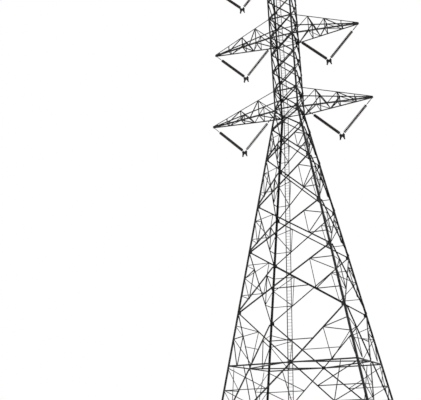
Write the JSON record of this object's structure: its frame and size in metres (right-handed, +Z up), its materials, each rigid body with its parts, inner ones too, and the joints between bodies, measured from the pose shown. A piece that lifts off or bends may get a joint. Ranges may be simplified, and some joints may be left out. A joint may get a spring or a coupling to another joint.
{
  "type": "lattice transmission pylon, scale model 1:2",
  "caption": "Square lattice steel tower on splayed legs that carries power lines for two circuits from V-shaped insulator strings on crossarms, at half its real size.",
  "frame": {"origin": "on the ground at the middle of the four legs", "axes": "+Z up, X along the crossarms, Y along the line; the face with the ladder looks to -Y"},
  "size_m": [8.72, 7.63, 28.01],
  "materials": {
    "tower_steel": "weathered, matt",
    "ladder_steel": "weathered, matt",
    "fittings": "galvanised, dull",
    "glazed_insulator": "gloss",
    "concrete": "rough"
  },
  "bodies": {
    "root": {"front_right_footing": "concrete", "back_right_footing": "concrete", "back_left_footing": "concrete", "front_left_footing": "concrete", "front_right_lower_leg": "tower_steel", "back_right_lower_leg": "tower_steel", "back_left_lower_leg": "tower_steel", "front_left_lower_leg": "tower_steel", "front_right_upper_leg": "tower_steel", "back_right_upper_leg": "tower_steel", "back_left_upper_leg": "tower_steel", "front_left_upper_leg": "tower_steel", "front_foot_bracing": "tower_steel", "right_foot_bracing": "tower_steel", "back_foot_bracing": "tower_steel", "left_foot_bracing": "tower_steel", "belt_frame": "tower_steel", "front_body_bracing": "tower_steel", "right_body_bracing": "tower_steel", "back_body_bracing": "tower_steel", "left_body_bracing": "tower_steel", "front_cage_bracing": "tower_steel", "right_cage_bracing": "tower_steel", "back_cage_bracing": "tower_steel", "left_cage_bracing": "tower_steel", "cage_plan_bracing": "tower_steel", "lower_right_crossarm": "tower_steel", "lower_left_crossarm": "tower_steel", "middle_right_crossarm": "tower_steel", "middle_left_crossarm": "tower_steel", "upper_right_crossarm": "tower_steel", "upper_left_crossarm": "tower_steel", "earth_wire_arms": "tower_steel", "lower_right_v_strings": "glazed_insulator", "lower_left_v_strings": "glazed_insulator", "middle_right_v_strings": "glazed_insulator", "middle_left_v_strings": "glazed_insulator", "upper_right_v_strings": "glazed_insulator", "upper_left_v_strings": "glazed_insulator", "lower_right_yoke": "fittings", "lower_left_yoke": "fittings", "middle_right_yoke": "fittings", "middle_left_yoke": "fittings", "upper_right_yoke": "fittings", "upper_left_yoke": "fittings", "ladder": "ladder_steel"}
  },
  "joints": []
}
